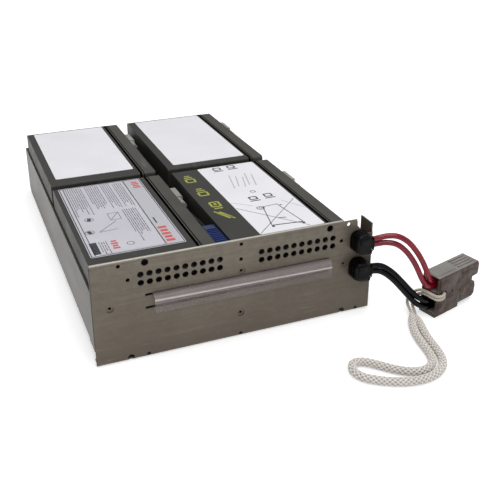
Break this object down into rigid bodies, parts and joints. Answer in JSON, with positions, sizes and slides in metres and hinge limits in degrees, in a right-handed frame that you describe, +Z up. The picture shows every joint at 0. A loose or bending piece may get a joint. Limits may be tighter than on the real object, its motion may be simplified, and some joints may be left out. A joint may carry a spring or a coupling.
{
  "type": "ups battery cartridge",
  "caption": "Folded steel tray with a front panel that holds sealed batteries laid flat, wired through strain reliefs to a plug with a braided pull loop.",
  "frame": {"origin": "middle of the cartridge's box at the level it rests on, without its free cords and connector", "axes": "+Z up, +X along the front panel towards the leads, +Y from the panel towards the rear"},
  "size_m": [0.3164, 0.431, 0.0822],
  "materials": {
    "galvanised_steel": "matte",
    "strap_film": "gloss",
    "case_plastic": "matte",
    "lid_plastic": "matte",
    "tinned_brass": "satin",
    "boot_nylon": "satin",
    "label_paper": "satin",
    "black_foam": "matte",
    "fuse_plastic": "gloss",
    "bushing_nylon": "matte",
    "red_insulation": "gloss",
    "black_insulation": "gloss",
    "housing_plastic": "satin",
    "contact_copper": "satin",
    "tie_cord": "matte",
    "braid_white": "matte"
  },
  "bodies": {
    "root": {"adhesive_pad_front_left": "black_foam", "adhesive_pad_front_right": "black_foam", "adhesive_pad_rear_left": "black_foam", "adhesive_pad_rear_right": "black_foam", "battery_case_front_left": "case_plastic", "battery_case_front_right": "case_plastic", "battery_case_rear_left": "case_plastic", "battery_case_rear_right": "case_plastic", "battery_lid_front_left": "lid_plastic", "battery_lid_front_right": "lid_plastic", "battery_lid_rear_left": "lid_plastic", "battery_lid_rear_right": "lid_plastic", "connector_housing": "housing_plastic", "contact_negative": "contact_copper", "contact_positive": "contact_copper", "contact_springs": "contact_copper", "fuse_holder_left": "fuse_plastic", "fuse_holder_right": "fuse_plastic", "handle_strap": "strap_film", "harness_black_rear_left": "black_insulation", "harness_black_rear_right": "black_insulation", "harness_red_front_left": "red_insulation", "harness_red_front_right": "red_insulation", "jumper_left_front": "black_insulation", "jumper_left_rear": "black_insulation", "jumper_right_front": "black_insulation", "jumper_right_rear": "black_insulation", "label_front_left": "label_paper", "label_front_right": "label_paper", "label_rear_left": "label_paper", "label_rear_right": "label_paper", "lead_black_lower": "black_insulation", "lead_black_upper": "black_insulation", "lead_red_lower": "red_insulation", "lead_red_upper": "red_insulation", "pull_rope": "braid_white", "rear_pad_left": "black_foam", "rear_pad_right": "black_foam", "spacer_left": "black_foam", "spacer_right": "black_foam", "strain_relief_lower": "bushing_nylon", "strain_relief_upper": "bushing_nylon", "terminal_boot_front_left_lower": "boot_nylon", "terminal_boot_front_left_upper": "boot_nylon", "terminal_boot_front_right_lower": "boot_nylon", "terminal_boot_front_right_upper": "boot_nylon", "terminal_boot_rear_left_lower": "boot_nylon", "terminal_boot_rear_left_upper": "boot_nylon", "terminal_boot_rear_right_lower": "boot_nylon", "terminal_boot_rear_right_upper": "boot_nylon", "terminals_front_left": "tinned_brass", "terminals_front_right": "tinned_brass", "terminals_rear_left": "tinned_brass", "terminals_rear_right": "tinned_brass", "tie_leg_lower": "tie_cord", "tie_leg_upper": "tie_cord", "tray": "galvanised_steel", "vent_covers": "lid_plastic"}
  },
  "joints": []
}
